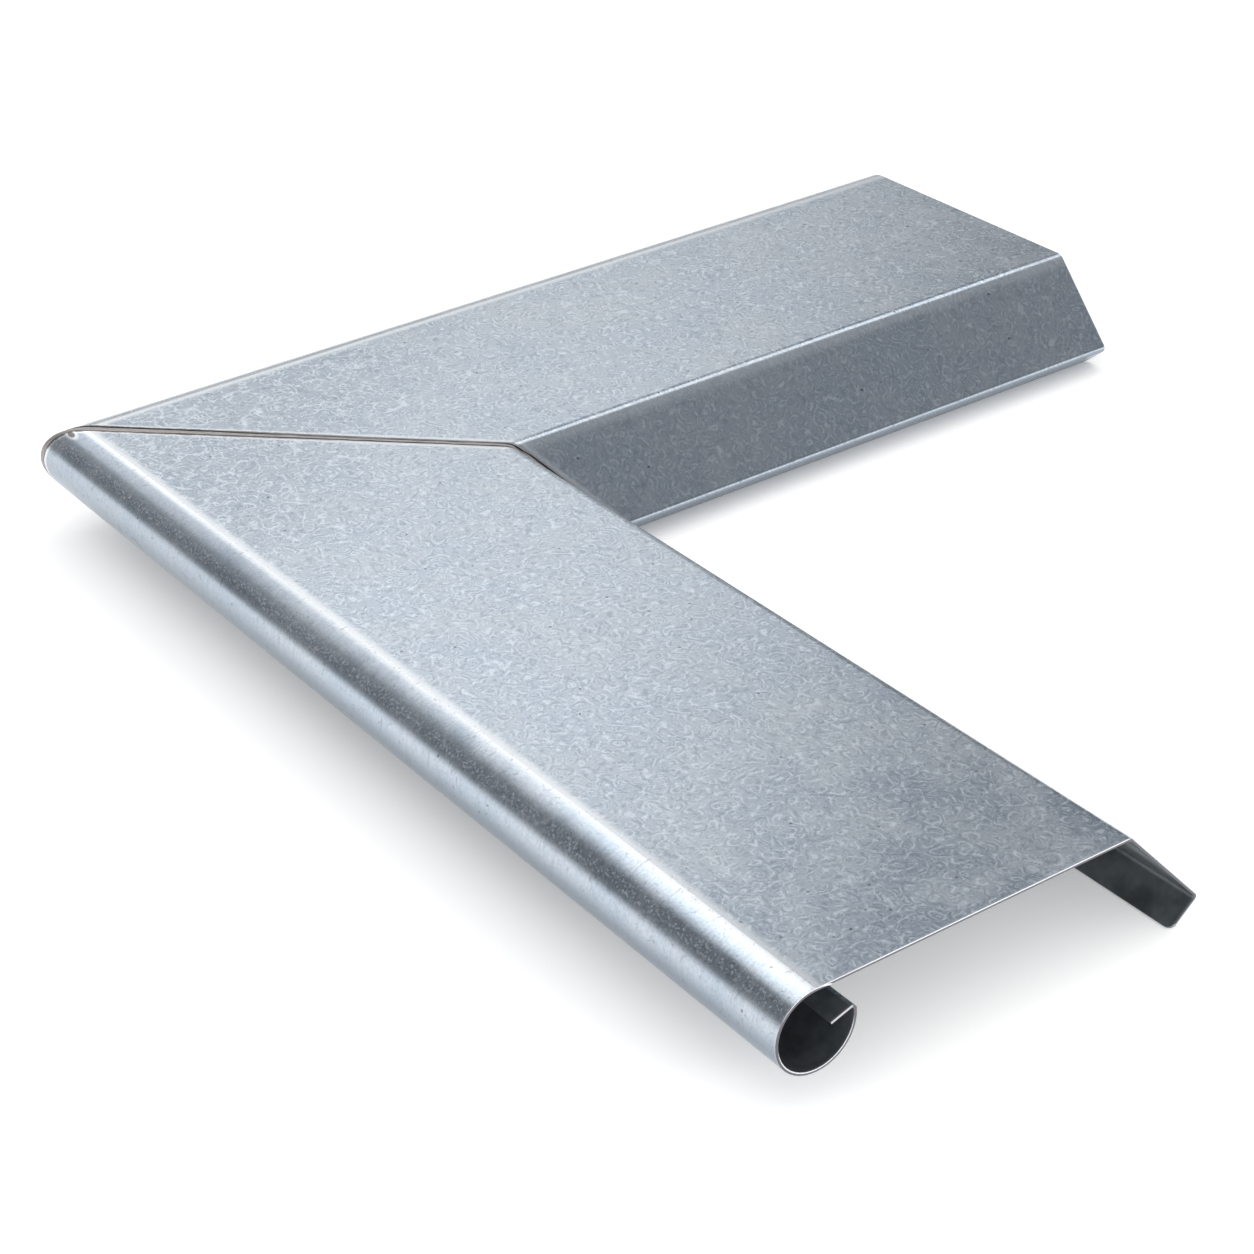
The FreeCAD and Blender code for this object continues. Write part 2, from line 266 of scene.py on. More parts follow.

# %% [markdown]
# ## Soft lamps
#
# The shoulder of the bead carries a white band. It is the image of two soft lamps high at the back on the
# left, wider than they are tall, over a painted highlight on the shoulder. A third one draws the white line
# along the far bend, and a fourth, very weak one brightens the near half of the web. The last is a small
# card just outside the open end. It only lights the table in there, so the metal doesn't show it.

# %% Lamps
LAMP_AWAY = 2.6
CARD_PLACE = Vector((0.300, -0.080, 0.050))
CARD_AIM = Vector((0.145, -0.065, 0.0))


def soft_lamp(name, around, height, wide, tall, radiance):
    light = bpy.data.lights.new(name, "AREA")
    light.shape = "RECTANGLE"
    light.size, light.size_y = wide, tall
    light.energy = radiance * math.pi * wide * tall
    lamp = bpy.data.objects.new(name, light)
    heading = direction(around, height)
    lamp.location = heading * LAMP_AWAY
    lamp.rotation_euler = heading.to_track_quat("Z", "Y").to_euler()
    lamp.visible_camera = False
    bpy.context.scene.collection.objects.link(lamp)
    print(name, "gives", round(light.energy, 2), "W")
    return lamp


soft_lamp("bead_lamp", around=179, height=28, wide=1.2, tall=0.36, radiance=1.0)
soft_lamp("shoulder_lamp", around=189, height=55, wide=2.0, tall=0.52, radiance=1.75)
soft_lamp("bend_lamp", around=111, height=55, wide=1.2, tall=1.2, radiance=1.2)
soft_lamp("web_lamp", around=150, height=33, wide=0.8, tall=0.5, radiance=0.17)
card = soft_lamp("end_card", around=0, height=0, wide=0.12, tall=0.06, radiance=9.0)
card.location = CARD_PLACE
card.rotation_euler = (CARD_PLACE - CARD_AIM).to_track_quat("Z", "Y").to_euler()
card.visible_glossy = False

# %% [markdown]
# ## Where a point is on the section
#
# Several marks depend on where a point lies: how far it is from the solder joint, how deep in the
# thickness of the sheet, or in which zone. All follow from the sizes of the section; some are painted light and shade.
# More than one finish needs them, so each is a group of nodes, made once. The joint runs at 45 degrees
# through the outer corner, so one dot product gives the distance from it and another the way along it.

# %% Group: distance from the joint
CORNER = Vector((-0.1625, -0.142, 0.029437))
TO_MM = 1000.0


def new_group(name, inputs, outputs):
    tree = bpy.data.node_groups.new(name, "ShaderNodeTree")
    for label, kind in inputs.items():
        tree.interface.new_socket(name=label, in_out="INPUT", socket_type="NodeSocket" + kind)
    for label, kind in outputs.items():
        tree.interface.new_socket(name=label, in_out="OUTPUT", socket_type="NodeSocket" + kind)
    return tree, tree.nodes.new("NodeGroupInput").outputs, tree.nodes.new("NodeGroupOutput").inputs


def measure(tree, place, heading):
    """how far a point is from the outer corner in one direction, in millimetres"""
    from_corner = add(tree, "VectorMath", {0: place, 1: CORNER}, operation="SUBTRACT").outputs["Vector"]
    scaled = heading.normalized() * TO_MM
    return add(tree, "VectorMath", {0: from_corner, 1: scaled}, operation="DOT_PRODUCT").outputs["Value"]


joint_group, given, result = new_group("joint_distance", {"Place": "Vector"}, {"Across": "Float", "Along": "Float"})
joint_group.links.new(measure(joint_group, given["Place"], Vector((1, -1, 0))), result["Across"])
joint_group.links.new(measure(joint_group, given["Place"], Vector((1, 1, 0))), result["Along"])
print(joint_group.name, "has", len(joint_group.nodes), "nodes")

# %% [markdown]
# ## The grain of the zinc
#
# Zinc freezes on the steel in crystals. On thin sheet they are small: short winding ridges a millimetre or
# two long, each with a darker side, and thin pale veins between larger cells. A drawn picture would repeat.
# Here a smooth noise is led through a sine, which turns its slow rise and fall into waves. A ridge is the
# top of a wave and its dark side is the trough beside it. A second noise breaks the waves into short
# pieces. There are bold waves and finer ones between them. The veins are the borders of bent cells, and
# there are more of them near the corner. The bead also has short dark strokes, each a piece of the line
# where a noise passes through its middle value. Every noise is read at a place of its own, a few metres
# away, so that no two of them line up.

# %% Group: zinc grain
BEND_SIZE = 320.0
BEND_REACH = 0.0017
CELL_REACH = 0.0052
RIDGE_SIZE = 285.0
RIDGE_TURNS = 27.0
FINE_RIDGE_SIZE = 440.0
FINE_TURNS = 30.0
FINE_SHARE = 0.7
PIECE_SIZE = 480.0
WAVE_TOP = (0.50, 1.0)
WAVE_TROUGH = (-0.35, -1.0)
VEIN_SIZE = 165.0
VEIN_PART_SIZE = 170.0
VEIN_EDGE = (0.075, 0.015)
PATCH_SIZE = 58.0
MOTTLE_SIZE = 1600.0
STROKE_SIZE = 900.0
STROKE_PART_SIZE = 700.0
STROKE_WIDTH = 0.08
STROKE_PART = (0.59, 0.65)
PIT_SIZE = 330.0
PIT_EDGE = (0.17, 0.08)
PIT_CHOICE = (0.87, 0.90)


def moved(tree, place, shift):
    return add(tree, "VectorMath", {0: place, 1: shift}, operation="ADD").outputs["Vector"]


def noise(tree, place, scale, detail=0.0, rough=0.5):
    sockets = {"Vector": place, "Scale": scale, "Detail": detail, "Roughness": rough}
    return add(tree, "TexNoise", sockets).outputs["Fac"]


def winding_line(tree, place, scale, width):
    off_middle = calc(tree, "ABSOLUTE", calc(tree, "SUBTRACT", noise(tree, place, scale), 0.5))
    return smooth(tree, off_middle, width, width * 0.2)


def broken(tree, line, spot, scale, start, end):
    return calc(tree, "MULTIPLY", line, smooth(tree, noise(tree, spot, scale, 1.0), start, end))


def ridges(tree, place, spot, scale, turns, share):
    """the tops and the troughs of the waves of a noise, broken into pieces"""
    wave = calc(tree, "SINE", calc(tree, "MULTIPLY", noise(tree, place, scale), turns))
    kept = smooth(tree, noise(tree, spot, PIECE_SIZE, 1.0), 0.43, 0.58, 0.12 * share, share)
    tops = calc(tree, "MULTIPLY", smooth(tree, wave, *WAVE_TOP), kept)
    troughs = calc(tree, "MULTIPLY", smooth(tree, wave, *WAVE_TROUGH), kept)
    return tops, troughs


def pushed(tree, place, way, reach):
    push = add(tree, "VectorMath", {0: way, "Scale": reach}, operation="SCALE").outputs["Vector"]
    return moved(tree, place, push)


grain_group, given, result = new_group(
    "zinc_grain", {"Place": "Vector", "Shift": "Vector", "Cells": "Float"},
    {"Ridges": "Float", "Shade": "Float", "Veins": "Float", "Patches": "Float", "Mottle": "Float", "Pits": "Float",
     "Strokes": "Float", "Height": "Float"})
tree = grain_group
spot = moved(tree, given["Place"], given["Shift"])
swirl = add(tree, "TexNoise", {"Vector": spot, "Scale": BEND_SIZE, "Detail": 1.0}).outputs["Color"]
centred = moved(tree, swirl, (-0.5, -0.5, -0.5))
bent = pushed(tree, spot, centred, BEND_REACH)

bold, bold_shade = ridges(tree, bent, moved(tree, spot, (3, 1, 2)), RIDGE_SIZE, RIDGE_TURNS, 1.0)
fine, fine_shade = ridges(tree, moved(tree, bent, (5, 8, 1)), moved(tree, spot, (7, 2, 9)),
                          FINE_RIDGE_SIZE, FINE_TURNS, FINE_SHARE)
light = calc(tree, "MAXIMUM", bold, fine)
shade = calc(tree, "MAXIMUM", bold_shade, fine_shade)
cells = add(tree, "TexVoronoi", {"Vector": pushed(tree, spot, centred, CELL_REACH), "Scale": VEIN_SIZE},
            feature="DISTANCE_TO_EDGE").outputs["Distance"]
vein_noise = noise(tree, moved(tree, spot, (2, 6, 4)), VEIN_PART_SIZE, 2.0)
vein_part = smooth(tree, calc(tree, "MULTIPLY_ADD", given["Cells"], 0.09, vein_noise), 0.50, 0.60)
veins = calc(tree, "MULTIPLY", smooth(tree, cells, *VEIN_EDGE), vein_part)
patches = smooth(tree, noise(tree, spot, PATCH_SIZE, 4.0, 0.62), 0.33, 0.67)
mottle = noise(tree, moved(tree, spot, (4, 4, 7)), MOTTLE_SIZE, 3.0, 0.7)
stroke_line = winding_line(tree, moved(tree, bent, (9, 3, 4)), STROKE_SIZE, STROKE_WIDTH)
strokes = broken(tree, stroke_line, moved(tree, spot, (8, 8, 1)), STROKE_PART_SIZE, *STROKE_PART)
dots = add(tree, "TexVoronoi", {"Vector": bent, "Scale": PIT_SIZE}, feature="F1")
chosen = add(tree, "SeparateColor", {"Color": dots.outputs["Color"]}).outputs["Red"]
pits = calc(tree, "MULTIPLY", smooth(tree, dots.outputs["Distance"], *PIT_EDGE), smooth(tree, chosen, *PIT_CHOICE))
height = calc(tree, "MULTIPLY_ADD", mottle, 0.6, bold)
for label, value in {"Ridges": light, "Shade": shade, "Veins": veins, "Patches": patches, "Mottle": mottle,
                     "Pits": pits, "Strokes": strokes, "Height": height}.items():
    tree.links.new(value, result[label])
print(grain_group.name, "has", len(grain_group.nodes), "nodes")

# %% [markdown]
# ## The cut edges
#
# Shears leave a band where the steel tore. Its dark colour is partly that band and partly painted shade, and
# the corner that looks up gets a painted highlight. The sheet is 0.7 mm thick, so both fit in two or three
# pixels, but they outline the open end. The group finds how deep a point lies under the outer skin: it takes
# the nearest of the web, the bead, the flange and the return lip. Round the bead the painted highlight changes
# from the outer corner at the top to the inner one at the bottom, and on the folded lip it runs along the middle.
# The group also tells the inner side of the sheet from the outer one: there the surface looks back at a point in
# the middle of the channel, or of the bead.

# %% Group: cut edge
LONG_END = 0.1625
SHORT_END = 0.142
SHEET_MM = 0.7
WEB_WIDTH = 92.0
BEAD_RADIUS = 10.0
FLANGE_SLOPE = 49.0
FLANGE_FOOT = (112.34, -23.4)
RETURN_SLOPE = 141.0
END_REACH = 0.00004
CHANNEL_MIDDLE = (60.0, -25.0)
BEAD_LIMIT = 20.5
LIP_EDGE = (13.53, -9.70)
LIP_SLOPE = 18.0
LIT_START, LIT_FULL = 0.10, 0.22
LIP_DEPTH = (0.75, 0.90)
LIP_LINE = (0.32, 0.16, 0.0, 0.62)
UP_TURN = -0.2


def depth_under(tree, across, height, point, slope):
    """depth under a flat skin that leans by a slope and passes through a point of the section"""
    a = math.radians(slope)
    offset = point[0] * math.sin(a) + point[1] * math.cos(a)
    part = calc(tree, "MULTIPLY_ADD", across, -math.sin(a), offset)
    return calc(tree, "MULTIPLY_ADD", height, -math.cos(a), part)


edge_group, given, result = new_group(
    "cut_edge", {"Place": "Vector", "Facing": "Vector", "Across": "Float", "Facing across": "Float"},
    {"End face": "Float", "Torn and shaded": "Float", "Inside": "Float", "Near end": "Float"})
tree = edge_group
axes = add(tree, "SeparateXYZ", {0: given["Place"]}).outputs
long_end = calc(tree, "COMPARE", axes["X"], LONG_END, END_REACH)
short_end = calc(tree, "COMPARE", axes["Y"], SHORT_END, END_REACH)
rise = measure(tree, given["Place"], Vector((0, 0, 1)))
side = calc(tree, "SUBTRACT", given["Across"], BEAD_RADIUS)
fall = calc(tree, "ADD", rise, BEAD_RADIUS)
radius = calc(tree, "SQRT", calc(tree, "MULTIPLY_ADD", side, side, calc(tree, "MULTIPLY", fall, fall)))
under_bead = calc(tree, "ABSOLUTE", calc(tree, "SUBTRACT", BEAD_RADIUS, radius))
under_web = calc(tree, "MULTIPLY", rise, -1.0)
under_flange = depth_under(tree, given["Across"], rise, (WEB_WIDTH, 0.0), FLANGE_SLOPE)
under_return = depth_under(tree, given["Across"], rise, FLANGE_FOOT, RETURN_SLOPE)
nearest = calc(tree, "MINIMUM", calc(tree, "MINIMUM", under_web, under_bead),
               calc(tree, "MINIMUM", under_flange, under_return))
in_bead = calc(tree, "LESS_THAN", given["Across"], BEAD_LIMIT)
# painted highlight of the cut face: on the corner that looks up, and along the middle of the folded lip; the rest is
# dark, partly as painted shade
upness = calc(tree, "MULTIPLY_ADD", fall, 1 / BEAD_RADIUS, UP_TURN)
turned_up = calc(tree, "MULTIPLY_ADD", in_bead, calc(tree, "SUBTRACT", upness, 1.0), 1.0)
off_centre = calc(tree, "MULTIPLY_ADD", nearest, -1 / SHEET_MM, 0.5)
lit_side = smooth(tree, calc(tree, "MULTIPLY", off_centre, turned_up), LIT_START, LIT_FULL)
on_lip = smooth(tree, nearest, *LIP_DEPTH)
under_lip = depth_under(tree, given["Across"], rise, LIP_EDGE, -LIP_SLOPE)
off_lip_middle = calc(tree, "ABSOLUTE", calc(tree, "SUBTRACT", under_lip, SHEET_MM / 2))
lip_line = smooth(tree, off_lip_middle, *LIP_LINE)
lit = calc(tree, "MULTIPLY_ADD", on_lip, calc(tree, "SUBTRACT", lip_line, lit_side), lit_side)
torn_and_shaded = calc(tree, "SUBTRACT", 1.0, lit)
middle_across = calc(tree, "MULTIPLY_ADD", in_bead, BEAD_RADIUS - CHANNEL_MIDDLE[0], CHANNEL_MIDDLE[0])
middle_height = calc(tree, "MULTIPLY_ADD", in_bead, -BEAD_RADIUS - CHANNEL_MIDDLE[1], CHANNEL_MIDDLE[1])
facing_up = add(tree, "SeparateXYZ", {0: given["Facing"]}).outputs["Z"]
sideways = calc(tree, "MULTIPLY", calc(tree, "SUBTRACT", given["Across"], middle_across), given["Facing across"])
outward = calc(tree, "MULTIPLY_ADD", calc(tree, "SUBTRACT", rise, middle_height), facing_up, sideways)
to_long_end = calc(tree, "SUBTRACT", LONG_END, axes["X"])
to_short_end = calc(tree, "SUBTRACT", SHORT_END, axes["Y"])
to_end = part_of(tree, calc(tree, "MINIMUM", to_long_end, to_short_end), TO_MM)
tree.links.new(calc(tree, "MAXIMUM", long_end, short_end), result["End face"])
tree.links.new(torn_and_shaded, result["Torn and shaded"])
tree.links.new(smooth(tree, outward, 0.5, -0.5), result["Inside"])
tree.links.new(smooth(tree, to_end, 0.6, 0.1), result["Near end"])
print(edge_group.name, "has", len(edge_group.nodes), "nodes")

# %% [markdown]
# ## Zones of the section
#
# Some zones of the sheet get painted light and shade. The shoulder of the bead gets a painted highlight, with a
# row of pale dots lower down, and so does a narrow band under the bend of the flange. The low side of the bead
# gets painted shade, and so does the turn of the return lip, on both sides of a lighter line. The group tells
# where these zones are, in millimetres across the leg and below the web. A noise makes the border of the bend
# band uneven.

# %% Group: zones of the section
SHOULDER_ACROSS = 10.1
SHOULDER_HALF = (2.5, 0.3)
SHOULDER_DEPTH = (-5.0, -3.0)
LOW_SIDE_DEPTH = (-4.5, -13.0)
DOTS_DEPTH = 3.0
DOTS_HALF = (1.5, 0.4)
BEND_BAND_END = (95.2, 93.2)
TURN_LINE_DEPTH = 22.95
TURN_LINE = (0.22, 0.10, 0.0, -0.45)
TURN_ABOVE = (-22.1, -22.5, 0.0, 0.5)
TURN_BELOW = (-23.1, -23.5, 0.0, 0.35)

zone_group, given, result = new_group(
    "section_zones", {"Place": "Vector", "Across": "Float"},
    {"Bead": "Float", "Shoulder": "Float", "Low side": "Float", "Dots band": "Float", "Flange": "Float",
     "Bend band": "Float", "Turn": "Float"})
tree = zone_group
across_here = given["Across"]
rise = measure(tree, given["Place"], Vector((0, 0, 1)))
uneven = calc(tree, "MULTIPLY_ADD", noise(tree, given["Place"], 420.0, 3.0, 0.6), 2.4, -1.2)
off_shoulder = calc(tree, "ABSOLUTE", calc(tree, "SUBTRACT", across_here, SHOULDER_ACROSS))
shoulder = calc(tree, "MULTIPLY", smooth(tree, off_shoulder, *SHOULDER_HALF), smooth(tree, rise, *SHOULDER_DEPTH))
low_side = calc(tree, "MULTIPLY", smooth(tree, rise, *LOW_SIDE_DEPTH), smooth(tree, across_here, 22.0, 19.0))
off_dots = calc(tree, "ABSOLUTE", calc(tree, "ADD", rise, DOTS_DEPTH))
dots_band = calc(tree, "MULTIPLY", smooth(tree, off_dots, *DOTS_HALF), smooth(tree, across_here, 9.0, 7.0))
under_bend = calc(tree, "MULTIPLY_ADD", uneven, 0.5, across_here)
bend_band = calc(tree, "MULTIPLY", smooth(tree, under_bend, *BEND_BAND_END), smooth(tree, across_here, 91.5, 92.5))
# where the painted shade round the turn of the return lip goes, with a lighter line in it
light_line = smooth(tree, calc(tree, "ABSOLUTE", calc(tree, "ADD", rise, TURN_LINE_DEPTH)), *TURN_LINE)
turn_shade = calc(tree, "ADD", smooth(tree, rise, *TURN_ABOVE), smooth(tree, rise, *TURN_BELOW))
turn = calc(tree, "MULTIPLY", calc(tree, "ADD", turn_shade, light_line), smooth(tree, across_here, 100.0, 104.0))
for label, value in {"Bead": smooth(tree, across_here, 12.0, 9.0), "Shoulder": shoulder, "Low side": low_side,
                     "Dots band": dots_band, "Flange": smooth(tree, across_here, 91.0, 94.0),
                     "Bend band": bend_band, "Turn": turn}.items():
    tree.links.new(value, result[label])
print(zone_group.name, "has", len(zone_group.nodes), "nodes")

# %% [markdown]
# ## The colours of the galvanised sheet
#
# Zinc is a pale blue-grey metal. Its colour goes from a cool to a more neutral grey in patches, the troughs
# beside the ridges and the pits darken it, and the ridges are pale. On the flange the veins are dark cracks
# instead of pale lines. Each mark is laid over the colour below it by its mask, so the order matters: what
# comes later lies on top. A mask is 1 where the mark is, and the share says how much of it counts.

# %% Colour of the grain
COOL_ZINC = (0.532, 0.610, 0.695, 1)
PALE_ZINC = (0.640, 0.697, 0.762, 1)
FLANGE_ZINC = (0.565, 0.622, 0.684, 1)
RIDGE_PALE = (0.84, 0.91, 0.98, 1)
RIDGE_SHADE = (0.26, 0.31, 0.37, 1)
PIT_COLOUR = (0.10, 0.10, 0.11, 1)
FLANGE_SHARE = 0.6
CELL_SHARE = 0.30
SHADE_SHARE = 0.42
RIDGE_SHARE = 0.72
MOTTLE_RANGE = (0.64, 0.28, 0.0, 0.28)
PIT_SHARE = 0.7


def tint(tree, amount, below, above):
    made = add(tree, "Mix", {"Factor": amount}, data_type="RGBA")
    for socket, value in ((made.inputs[6], below), (made.inputs[7], above)):
        if isinstance(value, bpy.types.NodeSocket):
            tree.links.new(value, socket)
        else:
            socket.default_value = value
    return made.outputs[2]


def use_group(tree, group, sockets):
    made = add(tree, "Group", node_tree=group)
    for name, value in sockets.items():
        if isinstance(value, bpy.types.NodeSocket):
            tree.links.new(value, made.inputs[name])
        else:
            made.inputs[name].default_value = value
    return made.outputs


def grain_colour(tree, grain, zone, cells, plain, ridge_mask, vein_mask):
    colour = tint(tree, grain["Patches"], COOL_ZINC, PALE_ZINC)
    colour = tint(tree, part_of(tree, zone["Flange"], FLANGE_SHARE), colour, FLANGE_ZINC)
    colour = tint(tree, part_of(tree, cells, CELL_SHARE), colour, RIDGE_SHADE)
    shade = calc(tree, "MULTIPLY", grain["Shade"], plain)
    colour = tint(tree, part_of(tree, shade, SHADE_SHARE), colour, RIDGE_SHADE)
    colour = tint(tree, part_of(tree, ridge_mask, RIDGE_SHARE), colour, RIDGE_PALE)
    colour = tint(tree, vein_mask, colour, tint(tree, zone["Flange"], RIDGE_PALE, RIDGE_SHADE))
    colour = tint(tree, smooth(tree, grain["Mottle"], *MOTTLE_RANGE), colour, RIDGE_SHADE)
    return tint(tree, part_of(tree, grain["Pits"], PIT_SHARE), colour, PIT_COLOUR)


print("zinc goes from", COOL_ZINC[:3], "to", PALE_ZINC[:3])

# %% [markdown]
# ## The marks of the rolls, and painted light and shade
#
# The rolls leave fine streaks along the bead, single hairs and short dark strokes. A noise that is stretched
# along the leg gives the streaks. The shoulder and the bend band get a painted highlight of nearly white colour,
# the low side of the bead gets painted shade, more so away from the corner, and the inner side of the sheet
# gets painted shade too.

# %% Colour of the marks and of the painted light and shade
HIGHLIGHT_AND_PALE_MARK = (0.92, 0.95, 0.985, 1)
LOW_SIDE_PAINTED_SHADE = (0.16, 0.20, 0.25, 1)
INNER_PAINTED_SHADE_DARK = (0.120, 0.135, 0.148, 1)
INNER_PAINTED_SHADE_PALE = (0.300, 0.325, 0.345, 1)
ROUND_STRETCH = 0.12
STREAK_RANGE = (0.60, 0.35, 0.0, 0.13)
HAIR_PART = (0.60, 0.66)
SHOULDER_HIGHLIGHT_SHARE = 0.80
LOW_SIDE_SHADE_SHARE = (40.0, 110.0, 0.50, 0.80)
MARK_SHARE = 0.28
DOT_SHARE = 0.5
BEND_BAND_HIGHLIGHT_SHARE = 0.3


def marks_and_painted_light(tree, colour, place, along_axis, grain, zone, joint, on_bead, inside):
    """the colour with the marks and the painted light and shade on it, and the masks of the strokes and of the pale
    dots
    """
    stretch = along_axis + (Vector((1, 1, 1)) - along_axis) * ROUND_STRETCH
    round_bead = add(tree, "VectorMath", {0: place, 1: stretch}, operation="MULTIPLY").outputs["Vector"]
    brushed = noise(tree, round_bead, 1500.0, 2.0, 0.6)
    hairs = broken(tree, winding_line(tree, round_bead, 420.0, 0.025), place, 230.0, *HAIR_PART)
    marks = calc(tree, "MULTIPLY", calc(tree, "MAXIMUM", grain["Strokes"], hairs), on_bead)
    # painted highlight: the shoulder of the bead is made nearly white
    colour = tint(tree, part_of(tree, zone["Shoulder"], SHOULDER_HIGHLIGHT_SHARE), colour, HIGHLIGHT_AND_PALE_MARK)
    # painted shade: the low side of the bead is darkened, more so away from the corner
    low_side_shade_share = smooth(tree, joint["Along"], *LOW_SIDE_SHADE_SHARE)
    colour = tint(tree, calc(tree, "MULTIPLY", zone["Low side"], low_side_shade_share), colour, LOW_SIDE_PAINTED_SHADE)
    worn_side = calc(tree, "MULTIPLY", on_bead, calc(tree, "SUBTRACT", 1.0, zone["Shoulder"]))
    streaks = calc(tree, "MULTIPLY", worn_side, smooth(tree, brushed, *STREAK_RANGE))
    colour = tint(tree, streaks, colour, RIDGE_SHADE)
    colour = tint(tree, part_of(tree, marks, MARK_SHARE), colour, PIT_COLOUR)
    pale_dots = calc(tree, "MULTIPLY", zone["Dots band"], smooth(tree, grain["Mottle"], 0.53, 0.60))
    colour = tint(tree, part_of(tree, pale_dots, DOT_SHARE), colour, HIGHLIGHT_AND_PALE_MARK)
    # painted highlight: a light band under the bend of the flange
    colour = tint(tree, part_of(tree, zone["Bend band"], BEND_BAND_HIGHLIGHT_SHARE), colour, HIGHLIGHT_AND_PALE_MARK)
    # painted shade round the turn of the return lip, on both sides of a lighter line
    colour = tint(tree, zone["Turn"], colour, RIDGE_SHADE)
    # painted shade: the inner side of the sheet is darkened, in patches
    colour = tint(tree, inside, colour, tint(tree, grain["Patches"], INNER_PAINTED_SHADE_DARK, INNER_PAINTED_SHADE_PALE))
    return colour, marks, pale_dots


print("the painted highlights and pale marks are", HIGHLIGHT_AND_PALE_MARK[:3])

# %% [markdown]
# ## The flux and the cut ends
#
# Next to the joint the flux has left a thin brown line. Beside it runs a pale line with ragged edges, partly
# tinning from wiping the solder and partly a painted highlight of the sheet's edge. A drop of flux has run out
# on the bead at the corner: it is a small ellipsoid, and the length of the place divided by the size of the
# drop tells how far a point is from its middle. The open ends get a painted highlight along their rim.

# %% Colour of the flux and the cut
FLUX_BROWN = (0.13, 0.10, 0.09, 1)
CUT_PAINTED_HIGHLIGHT = (0.60, 0.62, 0.65, 1)
CUT_TORN_AND_SHADE = (0.085, 0.082, 0.095, 1)
WIPED_AND_HIGHLIGHT_EDGE, WIPED_AND_HIGHLIGHT_SHARE = (3.0, 2.0), 0.75
STAIN_EDGE, STAIN_SHARE = (2.0, 1.6), 0.9
STAIN_FADE = (100.0, 40.0, 0.25, 1.0)
DROP_PLACE = (-0.1532, -0.13605, 0.02857)
DROP_SIZE = (0.0021, 0.0008, 0.0008)
DROP_RIM, DROP_RIM_SHARE = (2.1, 1.3), 0.7
DROP_CORE, DROP_CORE_SHARE = (1.1, 0.7), 0.85
NEAR_END_HIGHLIGHT_SHARE = 0.4


def end_colour(tree, colour, place, joint, edge):
    off_joint = calc(tree, "ABSOLUTE", joint["Across"])
    ragged = calc(tree, "MULTIPLY_ADD", noise(tree, place, 420.0, 3.0, 0.6), 1.2, -0.6)
    off_joint = calc(tree, "ADD", off_joint, ragged)
    # a pale line beside the joint: tinning from wiping the solder, and a painted highlight of the sheet's edge
    wiped_and_highlight = smooth(tree, off_joint, *WIPED_AND_HIGHLIGHT_EDGE)
    near_corner = smooth(tree, joint["Along"], *STAIN_FADE)
    stain = calc(tree, "MULTIPLY", smooth(tree, off_joint, *STAIN_EDGE), near_corner)
    colour = tint(tree, part_of(tree, wiped_and_highlight, WIPED_AND_HIGHLIGHT_SHARE), colour, HIGHLIGHT_AND_PALE_MARK)
    colour = tint(tree, part_of(tree, stain, STAIN_SHARE), colour, FLUX_BROWN)
    from_drop = add(tree, "VectorMath", {0: place, 1: DROP_PLACE}, operation="SUBTRACT").outputs["Vector"]
    drop_shape = add(tree, "VectorMath", {0: from_drop, 1: DROP_SIZE}, operation="DIVIDE").outputs["Vector"]
    off_drop = add(tree, "VectorMath", {0: drop_shape}, operation="LENGTH").outputs["Value"]
    colour = tint(tree, part_of(tree, smooth(tree, off_drop, *DROP_RIM), DROP_RIM_SHARE), colour, HIGHLIGHT_AND_PALE_MARK)
    colour = tint(tree, part_of(tree, smooth(tree, off_drop, *DROP_CORE), DROP_CORE_SHARE), colour, FLUX_BROWN)
    # painted highlight along the rim of the open ends
    colour = tint(tree, part_of(tree, edge["Near end"], NEAR_END_HIGHLIGHT_SHARE), colour, CUT_PAINTED_HIGHLIGHT)
    # cut faces: a painted highlight where they look up, and a dark band that is partly the rough cut and partly
    # painted shade
    return tint(tree, edge["End face"], colour, tint(tree, edge["Torn and shaded"], CUT_PAINTED_HIGHLIGHT, CUT_TORN_AND_SHADE))


print("the drop is", round(DROP_SIZE[0] * TO_MM, 2), "mm long")

# %% [markdown]
# ## The shine of the sheet
#
# The sheet has a satin shine. The ridges are not quite bare metal: they are dulled, so they also scatter
# light from all round. That is why they show pale on the dark side of the bead and fade on its bright
# side. The bold ridges and the mottle feed a very low bump, and the pits and strokes dent it. Each leg was
# cut from its own sheet, so each gets its own stretch of the grain.

# %% Galvanised sheet
SATIN = 0.27
SATIN_SPREAD = (-0.02, 0.03)
BEAD_SMOOTHER = -0.03
INNER_ROUGH = 0.5
BUMP_REACH = 0.000005
BUMP_STRENGTH = 0.6
RIDGE_DULL, VEIN_DULL, BEND_DULL, INNER_DULL, DOT_DULL = 0.13, 0.08, 0.09, 0.17, 0.20
CUT_DULL, NEAR_END_DULL = 0.85, 0.2
BEAD_HIDES, FLANGE_HIDES = 0.85, 0.42
CELL_RANGE = (120.0, 55.0)
VEINS_NEAR_CORNER, VEINS_ANYWHERE, VEINS_ON_FLANGE = 0.33, 0.25, 0.5


def dullness(tree, grain, zone, edge, ridge_mask, pale_dots):
    """how much of the surface scatters light instead of mirroring it"""
    dulled = calc(tree, "ADD", part_of(tree, ridge_mask, RIDGE_DULL), part_of(tree, grain["Veins"], VEIN_DULL))
    dulled = calc(tree, "MAXIMUM", dulled, part_of(tree, zone["Bend band"], BEND_DULL))
    other = calc(tree, "MAXIMUM", part_of(tree, edge["Inside"], INNER_DULL), part_of(tree, pale_dots, DOT_DULL))
    dulled = calc(tree, "MAXIMUM", dulled, other)
    fresh_cut = calc(tree, "MAXIMUM", part_of(tree, edge["End face"], CUT_DULL),
                     part_of(tree, edge["Near end"], NEAR_END_DULL))
    return calc(tree, "MAXIMUM", dulled, fresh_cut)


